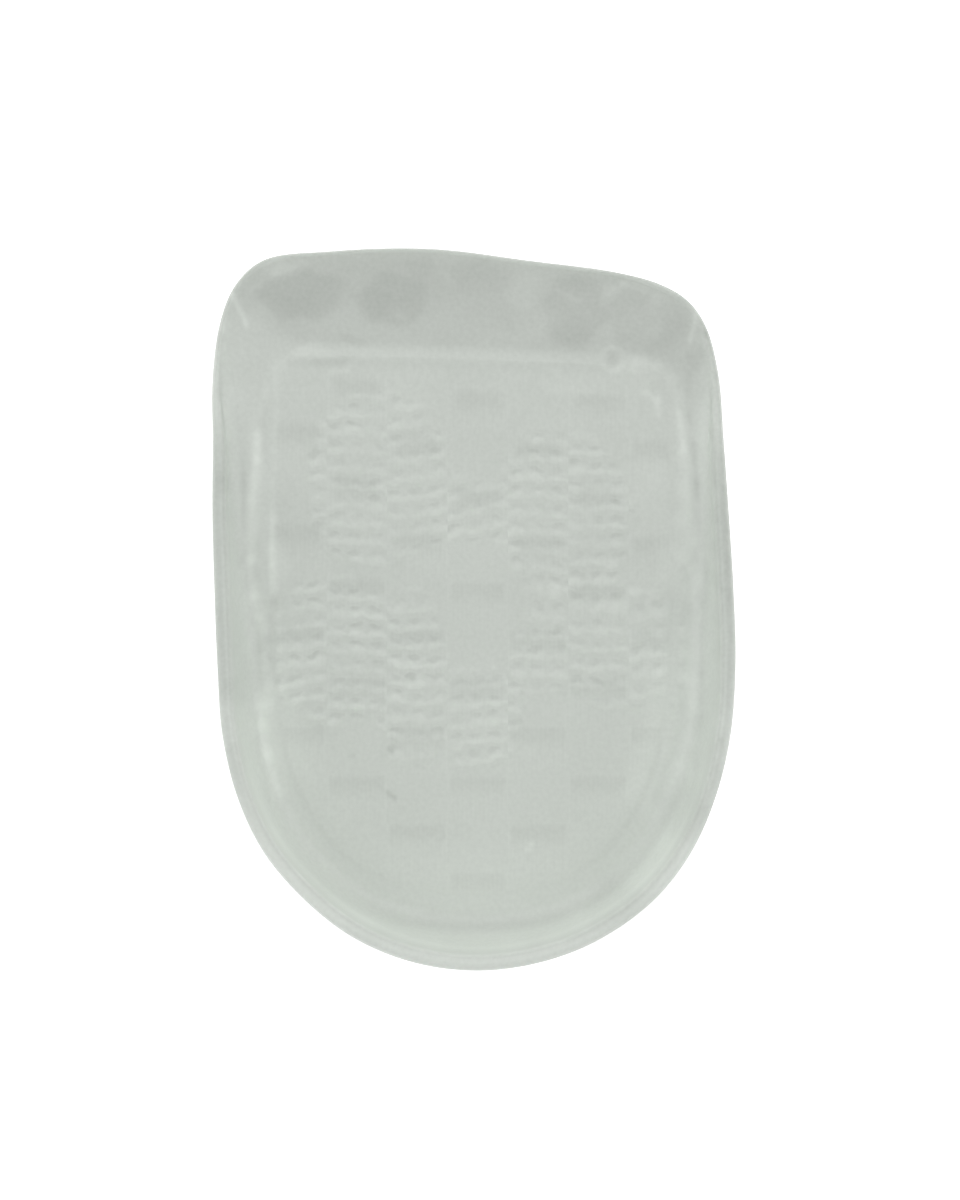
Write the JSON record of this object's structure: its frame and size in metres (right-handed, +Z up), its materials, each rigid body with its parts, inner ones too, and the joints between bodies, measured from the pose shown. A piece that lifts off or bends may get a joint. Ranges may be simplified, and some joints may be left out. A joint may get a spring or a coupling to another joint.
{
  "type": "heel cup",
  "caption": "Soft gel heel cup with a dished bed, a rounded wall at the sides and back that runs out into a thin front lip, and a low basket-weave tread beneath.",
  "frame": {"origin": "on the floor under the middle of the cup's outline", "axes": "+Y towards the toes (the thin lip), -Y towards the back of the heel, +Z up out of the hollow, +X to the right seen from above with the lip ahead"},
  "size_m": [0.074, 0.102, 0.022],
  "materials": {
    "gel": "smooth milky translucent silicone gel, pale grey-green, with a soft gloss"
  },
  "bodies": {
    "root": {"cup": "gel"}
  },
  "joints": []
}
